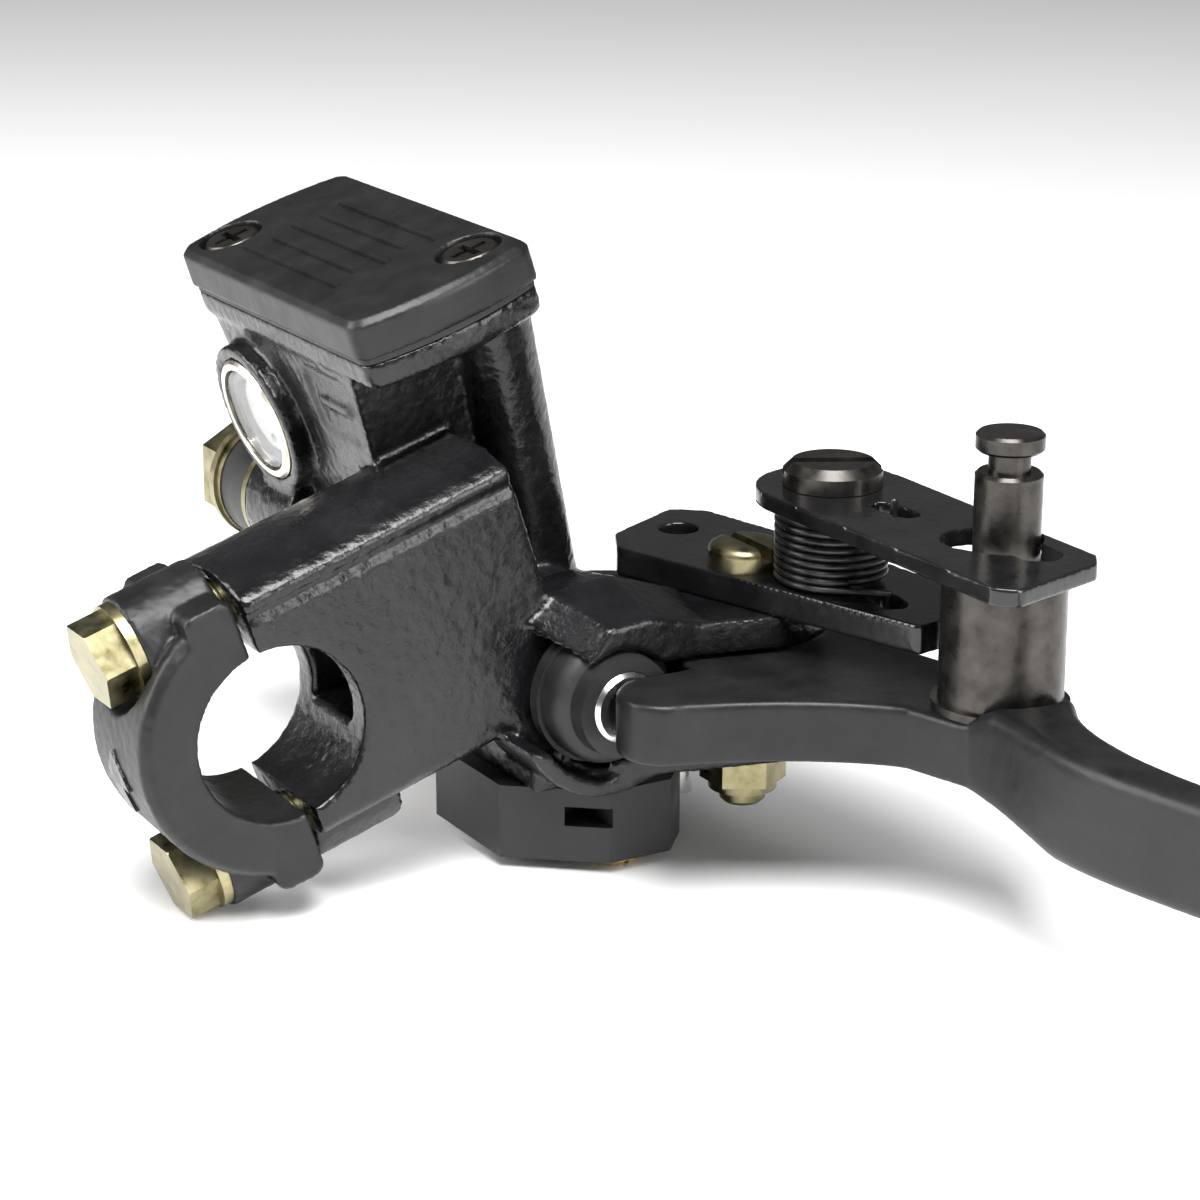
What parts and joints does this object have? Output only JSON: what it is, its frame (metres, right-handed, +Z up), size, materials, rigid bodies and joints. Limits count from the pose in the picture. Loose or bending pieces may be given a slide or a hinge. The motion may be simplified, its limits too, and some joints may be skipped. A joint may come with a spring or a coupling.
{
  "type": "brake master cylinder",
  "caption": "Right-hand hydraulic brake master cylinder for a 22 mm handlebar, with reservoir, lever, brake light switch and a push-pin lever lock.",
  "frame": {"origin": "on the handlebar axis at the middle of the clamp's width", "axes": "+X outboard along the handlebar, towards the lever's tip; +Y forward, away from the rider; +Z up, along the lever pivot"},
  "size_m": [0.2432, 0.1066, 0.0812],
  "materials": {
    "cast_paint": "gloss black paint over a rough casting",
    "satin_paint": "satin black powder coat",
    "olive_zinc": "yellow-olive zinc plating",
    "black_oxide": "black oxide steel",
    "plate_paint": "gloss black painted sheet steel",
    "spring_steel": "dark oiled spring wire",
    "rubber": "matte black rubber",
    "ring_silver": "turned pale metal",
    "sight_glass": "clear glass",
    "white_plastic": "white plastic",
    "black_plastic": "matte black plastic",
    "bare_steel": "bright zinc plated steel",
    "brass": "brass"
  },
  "bodies": {
    "housing": {"cylinder_body": "cast_paint", "clamp_cap": "satin_paint", "clamp_bolts": "olive_zinc", "reservoir_cover": "satin_paint", "cover_screws": "black_oxide", "reservoir_diaphragm": "rubber", "port_baffle": "white_plastic", "sight_glass_ring": "ring_silver", "sight_glass_lens": "sight_glass", "sight_glass_seal": "rubber", "sight_glass_reflector": "white_plastic", "outlet_washers": "olive_zinc", "outlet_spacer": "black_plastic", "banjo_bolt": "olive_zinc", "return_spring": "spring_steel", "stop_washer": "bare_steel", "retaining_ring": "bare_steel", "dust_boot": "rubber", "pivot_bolt": "olive_zinc", "pivot_nut": "olive_zinc", "latch_base_plate": "plate_paint", "latch_screw": "black_oxide", "latch_spacer": "black_oxide", "torsion_spring": "spring_steel", "switch_case_lower": "black_plastic", "switch_case_upper": "black_plastic", "switch_spring": "spring_steel", "switch_contacts": "brass", "switch_screw": "brass"},
    "lever": {"brake_lever": "satin_paint", "pivot_bush": "brass", "switch_finger": "bare_steel", "pin_tube": "black_oxide", "tube_washer": "black_oxide", "pin_spring": "spring_steel"},
    "piston": {"piston": "bare_steel", "primary_cup": "rubber", "secondary_cup": "rubber"},
    "latch": {"latch_plate": "plate_paint"},
    "pin": {"lock_pin": "black_oxide"},
    "plunger": {"switch_plunger": "black_plastic"}
  },
  "joints": [
    {"name": "lever_squeeze", "type": "hinge", "parent": "housing", "child": "lever", "pos_m": [0.011, 0.065, -0.0007], "axis": [0, 0, -1], "range_deg": [0, 16], "stiffness_Nm_per_rad": 1.5, "springref_deg": -20.05},
    {"name": "piston_stroke", "type": "slide", "parent": "housing", "child": "piston", "axis": [-1, 0, 0], "range_m": [0, 0.0068], "deforming": ["return_spring", "dust_boot"]},
    {"name": "latch_swing", "type": "hinge", "parent": "housing", "child": "latch", "pos_m": [0.0218, 0.0708, 0.0234], "axis": [0, 0, -1], "range_deg": [0, 17.2], "deforming": ["torsion_spring"]},
    {"name": "pin_press", "type": "slide", "parent": "lever", "child": "pin", "axis": [0, 0, -1], "range_m": [0, 0.0095], "stiffness_N_per_m": 350, "springref_m": -0.004, "deforming": ["pin_spring"]},
    {"name": "switch_travel", "type": "slide", "parent": "housing", "child": "plunger", "axis": [0, 1, 0], "range_m": [0, 0.0023], "deforming": ["switch_spring"]}
  ],
  "couplings": [
    {"joint": "piston_stroke", "follows": "lever_squeeze", "m_per_rad": 0.024},
    {"joint": "latch_swing", "follows": "lever_squeeze", "ratio": 1.05},
    {"joint": "switch_travel", "follows": "lever_squeeze", "m_per_rad": 0.0076}
  ]
}
